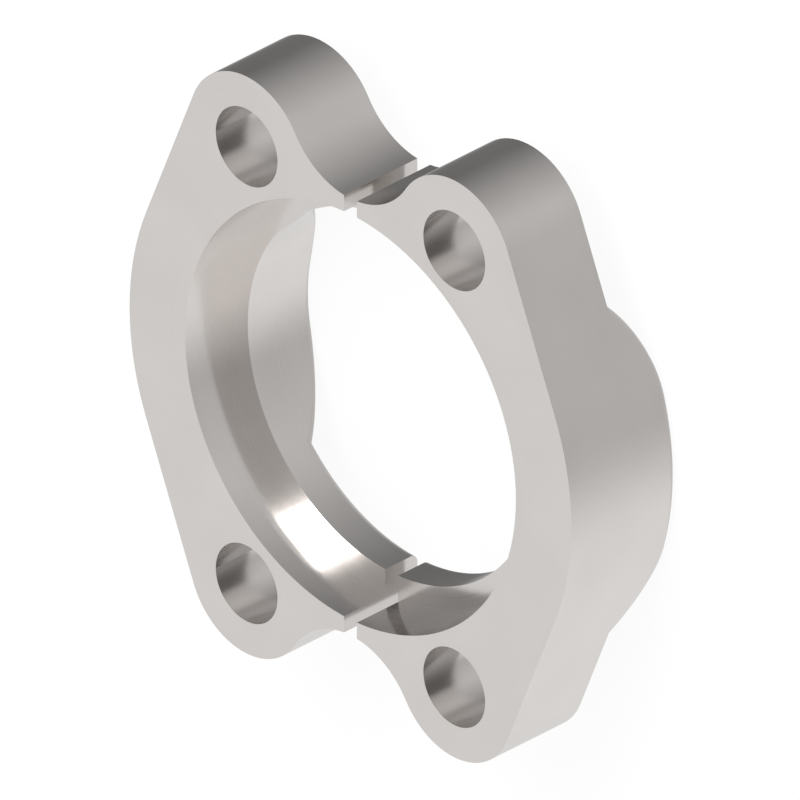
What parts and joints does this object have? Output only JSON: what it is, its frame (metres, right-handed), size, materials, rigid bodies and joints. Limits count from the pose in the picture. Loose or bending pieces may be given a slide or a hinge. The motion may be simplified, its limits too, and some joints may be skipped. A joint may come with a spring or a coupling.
{
  "type": "split flange clamp pair",
  "caption": "Split flange clamp halves that bolt a flanged hose or tube head onto a hydraulic port.",
  "frame": {"origin": "on the bore's axis, level with the flat backs of the hubs on which the clamp lies", "axes": "+X across the split, from the left half to the right half; +Y along the two bolts of one half, the longest way; +Z along the bore, out of the mating face"},
  "size_m": [0.0964, 0.1028, 0.023],
  "materials": {
    "steel": "smooth satin machined steel"
  },
  "bodies": {
    "root": {"flange_half_left": "steel", "flange_half_right": "steel"}
  },
  "joints": []
}
